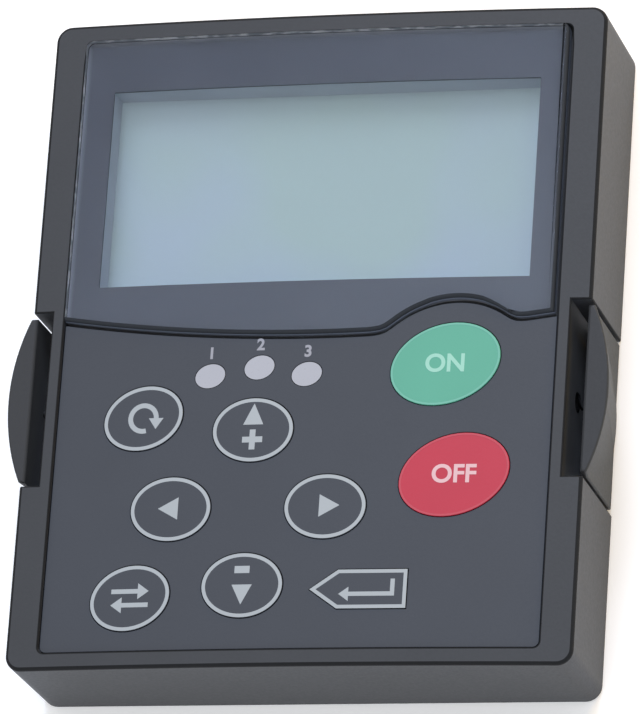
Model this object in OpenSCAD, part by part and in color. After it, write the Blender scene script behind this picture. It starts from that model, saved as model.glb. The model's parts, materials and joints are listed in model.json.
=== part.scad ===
// Detachable operator keypad of a variable frequency drive, lying on its back.
// Z = 0 is the rear face, +Z leaves the crowned front face, +Y is the display end.

/* [Housing] */
// Width across the side walls
body_w = 86; // [84:1:110]
// Height from the key end to the display end
body_h = 102; // [100:1:130]
// Depth at the side walls
body_d = 19.6; // [19:0.2:26]
// Rise of the crowned front face at its middle
crown = 1.2; // [0.6:0.1:2]
// Thickness of the outer walls
wall = 2.2; // [1.8:0.1:2.7]
// Radius of the upright corners
corner_r = 2.4; // [1:0.1:4]
// Thickness of the front plate at the side walls
plate_t = 2.6; // [2.4:0.1:3.2]
// Width of the bezel beside the overlay
bezel_side = 5; // [4.8:0.1:6]
// Width of the bezel above the lens and below the overlay
bezel_end = 2.6; // [2:0.1:4]
// Radius of the corners of the bezel's pocket
pocket_r = 1; // [0.5:0.1:2]

/* [Overlay and lens] */
// Depth of the overlay's face below the bezel
overlay_drop = 0.5; // [0.2:0.05:0.6]
// Thickness of the overlay
overlay_t = 0.6; // [0.3:0.05:0.7]
// Thickness of the display lens
lens_t = 1.5; // [1:0.1:1.5]
// Thickness of the printed mask that bonds the lens down
mask_t = 0.2; // [0.1:0.05:0.25]
// Groove around the lens, and on each side of the seam
edge_gap = 0.35; // [0.2:0.05:0.5]
// Distance that the lens sits towards the upper left of its groove
lens_push = 0.25; // [0:0.05:0.25]
// Gap around the overlay
overlay_gap = 0.15; // [0.1:0.05:0.4]
// Lowest point of the seam between lens and overlay
seam_low = -0.2; // [-2:0.1:1]
// Place of that lowest point across the front
seam_mid = 1.5; // [-5:0.5:5]
// Radius of the long sweep of that seam
seam_r = 235; // [180:5:400]
// Distance at which the seam arches over the start key
arch_gap = 3.4; // [2:0.1:4]
// Softness of the bend where the arch begins
arch_blend = 1.2; // [0.4:0.1:3]

/* [Display] */
// Width of the display opening
window_w = 66.4; // [50:0.2:67]
// Height of the display opening
window_h = 31.4; // [20:0.1:32]
// Height of the display opening's middle above the middle of the front
window_y = 24.5; // [22:0.05:24.6]
// Border of the liquid crystal glass around the opening
glass_border = 1.7; // [1.5:0.1:1.8]
// Thickness of the liquid crystal glass
glass_t = 1.8; // [1.1:0.1:2.2]
// Thickness of the backlight plate
backlight_t = 2.6; // [1.6:0.1:3]
// Thickness of the foam gasket over the display
gasket_t = 0.5; // [0.3:0.1:1]

/* [Keys] */
// Half length of a small oval key
small_a = 6.2; // [5:0.1:6.4]
// Half height of a small oval key
small_b = 4.95; // [4:0.05:5.2]
// Half length of a start or stop key
big_a = 8.4; // [7:0.1:9]
// Half height of a start or stop key
big_b = 6.15; // [5:0.05:6.6]
// Slant of a start or stop key
big_slant = 18; // [0:1:25]
// Slant of the turned small keys and of the lamps
key_slant = 15; // [0:1:25]
// Travel of a key
key_travel = 0.5; // [0.3:0.05:0.5]
// Gap around a key in the overlay and the front plate
key_gap = 0.1; // [0.1:0.05:0.3]
// Height of a key's face above the overlay
key_proud = 0.12; // [0:0.02:0.3]
// Width of the flange that keeps a key in the housing
flange_w = 0.8; // [0.5:0.1:1]
// Thickness of that flange
flange_t = 0.8; // [0.6:0.1:1.2]
// Diameter of a key's stem
stem_d = 3.6; // [2.5:0.1:4]
// Height of the pointed key's rectangle
enter_h = 5.9; // [5:0.1:7]
// Length of the pointed key's rectangle
enter_l = 10.4; // [8:0.1:12]
// Length of the pointed key's tip
enter_tip = 4.2; // [3:0.1:5]

/* [Lamps] */
// Half length of a lamp
lamp_a = 2.32; // [1.8:0.02:2.6]
// Half height of a lamp
lamp_b = 1.83; // [1.4:0.02:2]
// Gap around a lamp
lamp_gap = 0.08; // [0.05:0.01:0.15]

/* [Latches] */
// Height of the latch's middle above the middle of the front
latch_y = -8.8; // [-12:0.1:-6]
// Length of a latch lever
latch_l = 25.8; // [20:0.2:30]
// Gap at the ends of a latch lever
latch_gap = 0.7; // [0.4:0.05:1]
// Room left behind a latch lever when it is squeezed
bay_spare = 0.5; // [0.4:0.05:1]
// Thickness of the wall behind the bay
bay_wall = 1.2; // [0.8:0.1:1.5]
// Thickness of the walls at the bay's ends
bay_end = 2; // [1.6:0.1:3]
// Bulge of the lever's thumb face beyond the side wall
latch_bulge = 3.1; // [1:0.1:4]
// Drop from the bulge's middle to its ends
latch_sag = 2.6; // [1:0.1:3]
// Thickness of the lever's blade inside the side wall
blade_t = 0.6; // [0.5:0.05:1]
// Drop of the lever's front below the bezel's edge
latch_drop = 0.4; // [0.2:0.1:1]
// Travel of a latch lever in degrees
latch_turn = 9; // [4:0.5:9]
// Diameter of the pivot pin
pin_d = 1.5; // [1.2:0.1:1.6]
// Radial clearance of the lever on its pin
pin_clear = 0.04; // [0.02:0.01:0.08]
// Height of the pivot pin above the rear face
pin_z = 6.5; // [5:0.1:8]
// Height of the return spring above the rear face
spring_z = 12.5; // [11:0.1:13]
// Outer diameter of the return spring
spring_d = 2.6; // [2:0.1:3]
// Wire diameter of the return spring
spring_wire = 0.35; // [0.2:0.05:0.4]
// Curls of the return spring
spring_curls = 5; // [3:1:6]

/* [Rear and board] */
// Thickness of the rear cover
cover_t = 2.2; // [1.6:0.1:2.5]
// Gap around the rear cover
cover_gap = 0.15; // [0.1:0.05:0.3]
// Height of the circuit board above the rear face
board_z = 7; // [6.6:0.1:7.4]
// Thickness of the circuit board
board_t = 1.6; // [1:0.1:1.6]
// Gap around the circuit board
board_gap = 1.1; // [0.5:0.1:2]
// Thickness of the key mat's sheet
mat_t = 1; // [0.8:0.1:1.2]
// Height of the key mat's domes above the board
dome_h = 4.4; // [4:0.1:4.4]
// Thread diameter of the cover screws
cover_screw_d = 2.6; // [2:0.1:3]
// Thread diameter of the board screws
board_screw_d = 2.2; // [2:0.1:2.5]
// Height of the rear connector's middle above the middle of the back
conn_y = 14; // [10:0.5:16]
// Clear width of the rear cover's window for the connector
conn_window_w = 33; // [32:0.5:40]
// Clear height of that window
conn_window_h = 14.4; // [14:0.2:20]

/* [Hidden] */
$fn = 48;
BULGE_FN = 180;
CROWN_STRIPS = 40;
OVAL_POINTS = 48;
SEAM_POINTS = 96;
CUT = 1;

// Key places on the front, and the ways they point: 0 straight, 1 slanted
RESET = [-24.3, -12.35];
LOCAL_REMOTE = [-24.3, -40.2];
UP = [-7.15, -14.6];
DOWN = [-7.15, -38.55];
LEFT = [-19, -26.6];
RIGHT = [4.7, -26.65];
START = [21.5, -4.9];
STOP = [23.8, -22];
ENTER = [7.4, -39.35];
LAMPS = [[-14.4, -6], [-6.85, -4.85], [0.5, -6.05]];
SMALL_KEYS = [[RESET, 1], [LOCAL_REMOTE, 1], [UP, 0], [DOWN, 0], [LEFT, 0], [RIGHT, 0]];
BIG_KEYS = [START, STOP];

// Places of the packages under the board, and the length, width and thickness of their leads
CONTROLLER = [-18, -22];
MEMORY = [4, -26];
LINE_DRIVER = [-24, 10];
REGULATOR = [26, 12];
CRYSTAL = [-18, -37];
CAPACITOR_X = [20, 30];
CAPACITOR_Y = [-18, -26];
RESISTOR_X = [-4 : 4 : 16];
RESISTOR_Y = [-38, -34];
lead = [0.9, 0.4, 0.3];

// Front face
crown_r = (pow(body_w / 2, 2) + pow(crown, 2)) / (2 * crown);
crown_top = body_d + crown;
ceiling = body_d - plate_t;
pocket_w = body_w - 2 * bezel_side;
pocket_h = body_h - 2 * bezel_end;
overlay_floor = overlay_drop + overlay_t;
lens_floor = lens_t + mask_t;
inner_w = body_w - 2 * wall;
inner_h = body_h - 2 * wall;

// Board and display levels
board_top = board_z + board_t;
bay_depth = blade_t + (body_d - latch_drop - pin_z) * sin(latch_turn) + bay_spare;
bay_x = body_w / 2 - bay_depth;
bay_block_x = bay_x - bay_wall;
board_w = 2 * (bay_block_x - board_gap);
board_h = inner_h - 2 * board_gap;
glass_z = board_top + backlight_t;
glass_w = window_w + 2 * glass_border;
glass_h = window_h + 2 * glass_border;
polariser_t = 0.2;
polariser_border = 0.7;
frame_wall = 1.1;
frame_lip = 0.6;
frame_fit = 0.1;
frame_top = glass_z + glass_t + polariser_t + frame_lip;
frame_w = glass_w + 2 * (frame_wall + frame_fit);
frame_h = glass_h + 2 * (frame_wall + frame_fit);
frame_view = 1;
peg_d = 1.5;
peg_fit = 0.1;
peg_reach = 0.8;
chimney_t = 1.2;
chimney_z = frame_top + gasket_t;
backlight_fit = 0.2;
backlight_w = window_w - 2 * backlight_fit;
backlight_h = window_h + polariser_border;
strip_inset = 3.2;
strip_w = window_w - 2 * strip_inset;
strip_t = 1.2;
led_bar = [1.2, 3, 1.4];
led_bar_pitch = 10;

// Keys, mat and lamps
seat_gap = 0.05;
flange_top = ceiling - seat_gap;
dome_top = board_top + dome_h;
dome_r = 4.2;
dome_core_r = 2.2;
dome_web = 0.7;
dome_ring = 0.6;
dome_cap = 0.9;
pad_t = 0.1;
pad_r = 2.2;
pill_t = 0.45;
pill_r = 1.7;
pill_spare = 0.05;
pill_gap = key_travel + pill_spare;
pill_z = board_top + pad_t + pill_gap;
mat_edge = 1;
mat_x = [RESET[0] - small_a, START[0] + big_a + mat_edge];
mat_y = [ENTER[1] - dome_r - mat_edge, START[1] + dome_r];
lamp_body = [3.2, 1.6, 1.2];
guide_gap = 0.3;
guide_d = 3;
guide_bar_t = 1.2;
guide_bar_w = 3;
mat_notch = [[-18.5, -10], [4.5, mat_y[1] + CUT]];

// Latches
latch_y0 = latch_y - latch_l / 2;
latch_y1 = latch_y + latch_l / 2;
bay_y0 = latch_y0 - latch_gap;
bay_y1 = latch_y1 + latch_gap;
latch_top = body_d - latch_drop;
latch_low = 0.8;
blade_x = body_w / 2 - blade_t;
bulge_r = (pow(latch_l / 2, 2) + pow(latch_sag, 2)) / (2 * latch_sag);
bulge_tilt = atan(latch_bulge / latch_top);
pin_inset = 1.55;
pin_x = body_w / 2 - pin_inset;
pin_end_wall = 0.4;
pin_hold = bay_end - pin_end_wall;
pin_neck = 0.12;
pin_seat_fit = 0.02;
hub_wall = 0.65;
hub_r = pin_d / 2 + hub_wall;
root_t = 1.4;
root_x = body_w / 2 - root_t;
root_top = 10;
heel_l = 3;
heel_z = [1.2, 3.2];
heel_gap = 0.15;
hook_l = 12;
hook_reach = 1;
hook_h = 1.8;
spring_peg_d = 1.3;
spring_peg_l = 1;
cup_clear = 0.3;
cup_r = spring_d / 2 + cup_clear;
cup_wall = 0.8;
cup_deep = 3.1;
cup_floor = 0.6;
spring_gap = 0.1;
spring_x0 = bay_x - cup_deep + spring_gap;
spring_l = blade_x - spring_gap - spring_x0;

// Rear cover, screws and bosses
cover_boss_inset = 5.4;
cover_boss_r = 2.6;
cover_pad_t = 3.4;
cover_head_r = 2.4;
cover_head_h = 1.6;
cover_head_sink = 0.4;
cover_screw_l = 8;
cover_screws_at = [for (sx = [-1, 1], sy = [-1, 1])
  [sx * (body_w / 2 - cover_boss_inset), sy * (body_h / 2 - cover_boss_inset)]];
board_boss_r = 2.3;
board_head_r = 2;
board_head_h = 1.4;
board_screw_l = 5;
board_screw_edge = 5.2;
board_screw_side = 3.7;
board_screw_rows = [[26, body_h / 2 - board_screw_edge], [bay_block_x - board_screw_side, 0.8],
  [16, board_screw_edge - body_h / 2]];
board_screws_at = [for (sx = [-1, 1], p = board_screw_rows) [sx * p[0], p[1]]];
board_notch_gap = 0.5;
board_notch = [for (spare = [body_w - board_w, body_h - board_h])
  cover_boss_inset + cover_boss_r + board_notch_gap - spare / 2];
screw_fit = 0.2;
slot_w = 0.6;
slot_share = 1.4;
slot_deep = 0.7;
label_w = 44;
label_h = 22;
label_deep = 0.4;
label_y = -28;

// Nine-way rear connector
conn_flange = [30.8, 12.5, 0.6];
conn_flange_z = 5;
conn_shell_w = 16.3;
conn_shell_h = 7.9;
conn_shell_r = 2.2;
conn_shell_t = 0.5;
conn_shell_slant = 10;
conn_lip = 0.7;
conn_pitch = 2.77;
conn_rows = 2.84;
conn_hole_d = 1.3;
conn_contact_d = 1.1;
conn_tail_d = 0.7;
conn_tail_fit = 0.1;
conn_block = [25, 10.8];
conn_rivet_x = 12.5;
conn_rivet_d = 3;
conn_rivet_fit = 0.1;
conn_rivet_head_r = 2.4;
conn_rivet_head_h = 0.6;
conn_nose_drop = 0.4;
conn_contact_drop = 0.3;

// Colours as the photograph shows them
housing_grey = "#505458";
overlay_grey = "#545963";
lens_grey = "#5c6472";
glass_blue = "#a0b4be";
key_green = "#6ebaa2";
key_red = "#c44d5b";
lamp_white = "#bcbec9";
steel = "#b8bcc0";
dark_plastic = "#2c2e30";
board_green = "#2f6b45";
silicone_grey = "#8c9096";
gold = "#c9a24b";
strip_pink = "#d98f8f";

function oval(a, b) = [for (i = [0 : OVAL_POINTS - 1])
  let (t = 360 * i / OVAL_POINTS) [a * cos(t), b * sin(t)]];

// Height of a slanted oval's upper edge over x, and of the whole seam
function oval_top(x, at, a, b, turn) =
  let (k = pow(a * cos(turn), 2) + pow(b * sin(turn), 2), dx = x - at[0])
  at[1] + ((a * a - b * b) * sin(turn) * cos(turn) * dx + a * b * sqrt(max(0, k - dx * dx))) / k;
function sweep_y(x) = seam_low + seam_r - sqrt(seam_r * seam_r - pow(x - seam_mid, 2));
function arch_y(x) = oval_top(x, START, big_a + arch_gap, big_b + arch_gap, big_slant);
function seam_y(x) =
  let (low = sweep_y(x), high = arch_y(x))
  (low + high + sqrt(pow(high - low, 2) + arch_blend * arch_blend)) / 2;

module rounded(w, h, r) {
  square([w - 2 * r, h], center = true);
  square([w, h - 2 * r], center = true);
  for (sx = [-1, 1], sy = [-1, 1])
    translate([sx * (w / 2 - r), sy * (h / 2 - r)])
      circle(r);
}

module slab(w, h, z0, z1, at = [0, 0]) {
  translate([at[0] - w / 2, at[1] - h / 2, z0])
    cube([w, h, z1 - z0]);
}

// Solid under the crowned face, lowered by drop: an arc of flat strips along Y
module under_crown(drop) {
  reach = body_w / 2 + CUT;
  r = crown_r - drop;
  middle_z = crown_top - crown_r;
  rotate([90, 0, 0])
    linear_extrude(2 * body_h, center = true)
      polygon(concat(
        [for (i = [0 : CROWN_STRIPS]) let (x = -reach + 2 * reach * i / CROWN_STRIPS)
          [x, middle_z + sqrt(r * r - x * x)]],
        [[reach, -2 * CUT], [-reach, -2 * CUT]]));
}

// Sheet of an outline between two depths below the crowned face
module crowned_sheet(top_drop, low_drop) {
  difference() {
    intersection() {
      linear_extrude(crown_top + CUT)
        children();
      under_crown(top_drop);
    }
    under_crown(low_drop);
  }
}

// Outline above or below the seam, kept off it by gap
module seam_side(above, gap) {
  reach = pocket_w / 2 + CUT;
  far = above ? body_h : -body_h;
  shift = above ? gap : -gap;
  polygon(concat(
    [for (i = [0 : SEAM_POINTS]) let (x = -reach + 2 * reach * i / SEAM_POINTS) [x, seam_y(x) + shift]],
    [[reach, far], [-reach, far]]));
}

module lens_outline(gap = edge_gap, push = lens_push) {
  intersection() {
    translate([-push, push])
      rounded(pocket_w - 2 * gap, pocket_h - 2 * gap, pocket_r);
    seam_side(true, gap);
  }
}

module overlay_outline() {
  intersection() {
    rounded(pocket_w - 2 * overlay_gap, pocket_h - 2 * overlay_gap, pocket_r);
    seam_side(false, edge_gap);
  }
}

module oval_outline(at, a, b, turn, grow = 0) {
  translate(at)
    rotate(turn)
      polygon(oval(a + grow, b + grow));
}

module small_outline(key, grow = 0) {
  oval_outline(key[0], small_a, small_b, key[1] * key_slant, grow);
}

module big_outline(at, grow = 0) {
  oval_outline(at, big_a, big_b, big_slant, grow);
}

// Rectangle with a pointed left end
module enter_outline(grow = 0) {
  lean = atan(enter_h / 2 / enter_tip);
  shoulder = -grow * tan(lean / 2);
  half = enter_h / 2 + grow;
  right = enter_l + grow;
  translate(ENTER)
    polygon([[-enter_tip - grow / sin(lean), 0], [shoulder, -half], [right, -half], [right, half],
      [shoulder, half]]);
}

module all_key_outlines(grow) {
  for (key = SMALL_KEYS)
    small_outline(key, grow);
  for (at = BIG_KEYS)
    big_outline(at, grow);
  enter_outline(grow);
}

module all_lamp_outlines(grow) {
  for (at = LAMPS)
    oval_outline(at, lamp_a, lamp_b, key_slant, grow);
}

enter_mid = [ENTER[0] + (enter_l - enter_tip) / 2, ENTER[1]];
dome_places = concat([for (key = SMALL_KEYS) key[0]], BIG_KEYS, [enter_mid]);

module bay_block(grow = 0) {
  for (side = [-1, 1])
    slab(body_w / 2 - bay_block_x + grow, bay_y1 - bay_y0 + 2 * (bay_end + grow), 0, ceiling + CUT,
      [side * (body_w / 2 + bay_block_x - grow) / 2, latch_y]);
}

module bay_cut() {
  for (side = [-1, 1])
    slab(bay_depth + CUT, bay_y1 - bay_y0, -CUT, crown_top + CUT,
      [side * (bay_x + (bay_depth + CUT) / 2), latch_y]);
}

// Seats that the pivot pins snap into from the rear, in the walls at the bay's ends
module pin_seats() {
  reach = bay_y1 - bay_y0 + 2 * pin_hold;
  for (side = [-1, 1]) {
    translate([side * pin_x, latch_y, pin_z])
      rotate([90, 0, 0])
        cylinder(r = pin_d / 2 + pin_seat_fit, h = reach, center = true);
    slab(pin_d - 2 * pin_neck, reach, -CUT, pin_z, [side * pin_x, latch_y]);
  }
}

module spring_cups(r, deep) {
  for (side = [-1, 1])
    translate([side * (bay_x + CUT), latch_y, spring_z])
      rotate([0, -90 * side, 0])
        cylinder(r = r, h = deep + CUT);
}

module housing_inside() {
  difference() {
    slab(inner_w, inner_h, -CUT, ceiling);
    bay_block();
    spring_cups(cup_r + cup_wall, cup_deep + cup_floor);
    slab(window_w + 2 * chimney_t, window_h + 2 * chimney_t, chimney_z, ceiling + CUT, [0, window_y]);
    for (p = cover_screws_at)
      translate([p[0], p[1], cover_pad_t])
        cylinder(r = cover_boss_r, h = ceiling);
    for (p = board_screws_at)
      translate([p[0], p[1], board_top])
        cylinder(r = board_boss_r, h = ceiling);
  }
}

module front_housing() {
  color(housing_grey)
    difference() {
      intersection() {
        linear_extrude(crown_top + CUT)
          rounded(body_w, body_h, corner_r);
        under_crown(0);
      }
      housing_inside();
      crowned_sheet(-CUT, overlay_floor)
        rounded(pocket_w, pocket_h, pocket_r);
      crowned_sheet(-CUT, lens_floor)
        lens_outline(gap = 0, push = 0);
      slab(window_w, window_h, chimney_z - CUT, crown_top + CUT, [0, window_y]);
      translate([0, 0, ceiling - CUT])
        linear_extrude(crown_top) {
          all_key_outlines(key_gap);
          all_lamp_outlines(lamp_gap);
        }
      bay_cut();
      spring_cups(cup_r, cup_deep);
      pin_seats();
      for (p = cover_screws_at)
        translate([p[0], p[1], cover_pad_t - CUT])
          cylinder(d = cover_screw_d, h = cover_screw_l);
      for (p = board_screws_at)
        translate([p[0], p[1], board_top - CUT])
          cylinder(d = board_screw_d, h = board_screw_l);
    }
}

module rear_cover() {
  head_seat = cover_head_h + cover_head_sink;
  color(housing_grey)
    difference() {
      union() {
        slab(inner_w - 2 * cover_gap, inner_h - 2 * cover_gap, 0, cover_t);
        for (p = cover_screws_at)
          translate([p[0], p[1], 0])
            cylinder(r = cover_boss_r, h = cover_pad_t);
      }
      translate([0, 0, -CUT])
        bay_block(cover_gap);
      slab(conn_window_w, conn_window_h, -CUT, cover_t + CUT, [0, conn_y]);
      slab(label_w, label_h, -CUT, label_deep, [0, label_y]);
      for (p = cover_screws_at)
        translate([p[0], p[1], -CUT]) {
          cylinder(r = cover_head_r + screw_fit, h = head_seat + CUT);
          cylinder(r = cover_screw_d / 2 + screw_fit, h = cover_pad_t + 2 * CUT);
        }
    }
}

// Screw standing on its head, with a cross slot in the head's lower face
module screw(d, length, head_r, head_h) {
  difference() {
    union() {
      cylinder(r = head_r, h = head_h);
      cylinder(d = d, h = head_h + length);
    }
    for (turn = [0, 90])
      rotate(turn)
        slab(slot_share * head_r, slot_w, -CUT, slot_deep);
  }
}

module cover_screws() {
  color(steel)
    for (p = cover_screws_at)
      translate([p[0], p[1], cover_head_sink])
        screw(cover_screw_d, cover_screw_l - CUT, cover_head_r, cover_head_h);
}

module board_screws() {
  color(steel)
    for (p = board_screws_at)
      translate([p[0], p[1], board_z - board_head_h])
        screw(board_screw_d, board_t + board_screw_l - 2 * CUT, board_head_r, board_head_h);
}

module keypad_overlay() {
  color(overlay_grey)
    crowned_sheet(overlay_drop, overlay_floor)
      difference() {
        overlay_outline();
        all_key_outlines(key_gap);
        all_lamp_outlines(lamp_gap);
      }
}

module display_lens() {
  color(lens_grey, 0.5)
    crowned_sheet(0, lens_t)
      lens_outline();
}

module lens_mask() {
  color(lens_grey)
    crowned_sheet(lens_t, lens_floor)
      difference() {
        lens_outline();
        translate([0, window_y])
          square([window_w, window_h], center = true);
      }
}

module display_gasket() {
  color(dark_plastic)
    difference() {
      slab(window_w + 2 * chimney_t, window_h + 2 * chimney_t, frame_top, chimney_z, [0, window_y]);
      slab(window_w + frame_view, window_h + frame_view, frame_top - CUT, chimney_z + CUT, [0, window_y]);
    }
}

module lcd_glass() {
  color(glass_blue)
    slab(glass_w, glass_h, glass_z, glass_z + glass_t, [0, window_y]);
}

module lcd_polariser() {
  color(glass_blue)
    slab(window_w + 2 * polariser_border, window_h + 2 * polariser_border, glass_z + glass_t,
      glass_z + glass_t + polariser_t, [0, window_y]);
}

lcd_pegs_at = [for (sx = [-1, 1], sy = [-1, 1])
  [sx * (frame_w - frame_wall) / 2, window_y + sy * (frame_h / 2 - glass_border)]];

module lcd_frame() {
  color(dark_plastic) {
    difference() {
      slab(frame_w, frame_h, board_top, frame_top, [0, window_y]);
      slab(glass_w + 2 * frame_fit, glass_h + 2 * frame_fit, board_top - CUT,
        glass_z + glass_t + polariser_t, [0, window_y]);
      slab(window_w + 2 * frame_view, window_h + 2 * frame_view, board_top, frame_top + CUT, [0, window_y]);
    }
    for (p = lcd_pegs_at)
      translate([p[0], p[1], board_z - peg_reach])
        cylinder(d = peg_d, h = board_t + peg_reach + CUT);
  }
}

module backlight_plate() {
  color("white")
    slab(backlight_w, backlight_h, board_top, glass_z, [0, window_y]);
}

module backlight_lamps() {
  color(lamp_white)
    for (side = [-1, 1], i = [-1 : 1])
      slab(led_bar[0], led_bar[1], board_top, board_top + led_bar[2],
        [side * (backlight_w / 2 + led_bar[0] / 2 + seat_gap), window_y + i * led_bar_pitch]);
}

module lcd_contact_strips() {
  color(strip_pink)
    for (side = [-1, 1])
      slab(strip_w, strip_t, board_top, glass_z, [0, window_y + side * (glass_h - strip_t) / 2]);
}

module circuit_board() {
  color(board_green)
    difference() {
      slab(board_w, board_h, board_z, board_top);
      for (sx = [-1, 1], sy = [-1, 1])
        slab(2 * board_notch[0], 2 * board_notch[1], board_z - CUT, board_top + CUT,
          [sx * board_w / 2, sy * board_h / 2]);
      for (p = board_screws_at)
        translate([p[0], p[1], 0])
          cylinder(r = board_screw_d / 2 + screw_fit, h = body_d);
      for (p = lcd_pegs_at)
        translate([p[0], p[1], 0])
          cylinder(r = peg_d / 2 + peg_fit, h = body_d);
      for (p = contacts_at)
        translate([p[0], p[1], 0])
          cylinder(r = conn_tail_d / 2 + conn_tail_fit, h = body_d);
      for (side = [-1, 1])
        translate([side * conn_rivet_x, conn_y, 0])
          cylinder(d = conn_rivet_d + conn_rivet_fit, h = body_d);
    }
}

// Flat package under the board, with a row of leads on each of the sides that it lists
module chip(at, size, leads, pitch, sides) {
  translate([at[0], at[1], board_z - size[2]]) {
    slab(size[0], size[1], 0, size[2] - lead[2] / 2);
    for (turn = sides, i = [0 : leads - 1]) {
      edge = (turn % 180 == 0 ? size[0] : size[1]) / 2;
      rotate(turn)
        slab(lead[0] + CUT, lead[1], size[2] - lead[2], size[2],
          [edge + (lead[0] - CUT) / 2, (i - (leads - 1) / 2) * pitch]);
    }
  }
}

module controller_chip() {
  color(dark_plastic)
    chip(CONTROLLER, [12, 12, 1.6], leads = 11, pitch = 0.9, sides = [0, 90, 180, 270]);
}

module memory_chip() {
  color(dark_plastic)
    chip(MEMORY, [5.2, 5, 1.7], leads = 4, pitch = 1.27, sides = [0, 180]);
}

module line_driver_chip() {
  color(dark_plastic)
    chip(LINE_DRIVER, [6, 10, 2], leads = 8, pitch = 1.27, sides = [0, 180]);
}

module voltage_regulator() {
  color(dark_plastic)
    chip(REGULATOR, [6.6, 6.2, 2.4], leads = 3, pitch = 2.3, sides = [0]);
}

module crystal_can() {
  can = [10.8, 4.4, 3.5];
  color(steel)
    translate([CRYSTAL[0], CRYSTAL[1], board_z - can[2]])
      linear_extrude(can[2])
        rounded(can[0], can[1], can[1] / 2 - seat_gap);
}

module storage_capacitors() {
  case = [7.3, 4.3, 2.8];
  color(gold)
    for (x = CAPACITOR_X, y = CAPACITOR_Y)
      slab(case[0], case[1], board_z - case[2], board_z, [x, y]);
}

module chip_resistors() {
  case = [2, 1.25, 0.6];
  color(dark_plastic)
    for (x = RESISTOR_X, y = RESISTOR_Y)
      slab(case[0], case[1], board_z - case[2], board_z, [x, y]);
}

module contact_pads() {
  color(dark_plastic)
    for (p = dome_places)
      translate([p[0], p[1], board_top])
        cylinder(r = pad_r, h = pad_t);
}

module status_lamps() {
  color("white")
    for (p = LAMPS)
      slab(lamp_body[0], lamp_body[1], board_top, board_top + lamp_body[2], p);
}

module light_guide() {
  guide_z = board_top + lamp_body[2] + guide_gap;
  bar_y = LAMPS[0][1];
  color(lamp_white) {
    crowned_sheet(overlay_drop, crown_top - ceiling + CUT)
      all_lamp_outlines(0);
    for (p = LAMPS) {
      translate([0, 0, ceiling - guide_bar_t])
        linear_extrude(guide_bar_t + CUT / 2)
          oval_outline(p, lamp_a, lamp_b, key_slant);
      translate([p[0], p[1], guide_z])
        cylinder(d = guide_d, h = ceiling - guide_z);
    }
    slab(LAMPS[2][0] - LAMPS[0][0], guide_bar_w, ceiling - guide_bar_t, ceiling,
      [(LAMPS[0][0] + LAMPS[2][0]) / 2, bar_y]);
  }
}

module key_mat() {
  web_z = board_top + mat_t;
  shoulder_z = dome_top - dome_cap;
  color(silicone_grey) {
    difference() {
      slab(mat_x[1] - mat_x[0], mat_y[1] - mat_y[0], board_top, web_z,
        [(mat_x[0] + mat_x[1]) / 2, (mat_y[0] + mat_y[1]) / 2]);
      slab(mat_notch[1][0] - mat_notch[0][0], mat_notch[1][1] - mat_notch[0][1], board_top - CUT,
        web_z + CUT, (mat_notch[0] + mat_notch[1]) / 2);
      for (p = dome_places)
        translate([p[0], p[1], board_top - CUT])
          cylinder(r = dome_r - dome_ring / 2, h = mat_t + 2 * CUT);
      for (p = board_screws_at)
        translate([p[0], p[1], board_top - CUT])
          cylinder(r = board_boss_r + screw_fit, h = mat_t + 2 * CUT);
    }
    for (p = dome_places)
      translate([p[0], p[1], 0])
        rotate_extrude()
          polygon([[0, pill_z + pill_t], [dome_core_r, pill_z + pill_t],
            [dome_core_r, shoulder_z - dome_web], [dome_r - dome_ring, web_z],
            [dome_r - dome_ring, board_top], [dome_r, board_top], [dome_r, web_z],
            [dome_core_r, shoulder_z], [dome_core_r, dome_top], [0, dome_top]]);
  }
}

module contact_pills() {
  color(dark_plastic)
    for (p = dome_places)
      translate([p[0], p[1], pill_z])
        cylinder(r = pill_r, h = pill_t);
}

// Cap that follows the crowned face, its flange under the front plate, and its stem.
// The first outline is the cap's, the second the flange's.
module key(at) {
  low = flange_top - flange_t;
  intersection() {
    translate([0, 0, low])
      linear_extrude(crown_top)
        children(0);
    under_crown(overlay_drop - key_proud);
  }
  translate([0, 0, low])
    linear_extrude(flange_t)
      children(1);
  translate([at[0], at[1], dome_top + seat_gap])
    cylinder(d = stem_d, h = low - dome_top - seat_gap + flange_t / 2);
}

module small_key(spec) {
  key(spec[0]) {
    small_outline(spec);
    small_outline(spec, flange_w);
  }
}

module big_key(at) {
  key(at) {
    big_outline(at);
    big_outline(at, flange_w);
  }
}

module key_reset() {
  color(overlay_grey)
    small_key([RESET, 1]);
}

module key_local_remote() {
  color(overlay_grey)
    small_key([LOCAL_REMOTE, 1]);
}

module key_up() {
  color(overlay_grey)
    small_key([UP, 0]);
}

module key_down() {
  color(overlay_grey)
    small_key([DOWN, 0]);
}

module key_left() {
  color(overlay_grey)
    small_key([LEFT, 0]);
}

module key_right() {
  color(overlay_grey)
    small_key([RIGHT, 0]);
}

module key_start() {
  color(key_green)
    big_key(START);
}

module key_stop() {
  color(key_red)
    big_key(STOP);
}

module key_enter() {
  color(overlay_grey)
    key(enter_mid) {
      enter_outline();
      enter_outline(flange_w);
    }
}

contacts_at = concat(
  [for (i = [-2 : 2]) [i * conn_pitch, conn_y + conn_rows / 2]],
  [for (i = [-1.5 : 1.5]) [i * conn_pitch, conn_y - conn_rows / 2]]);

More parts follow.
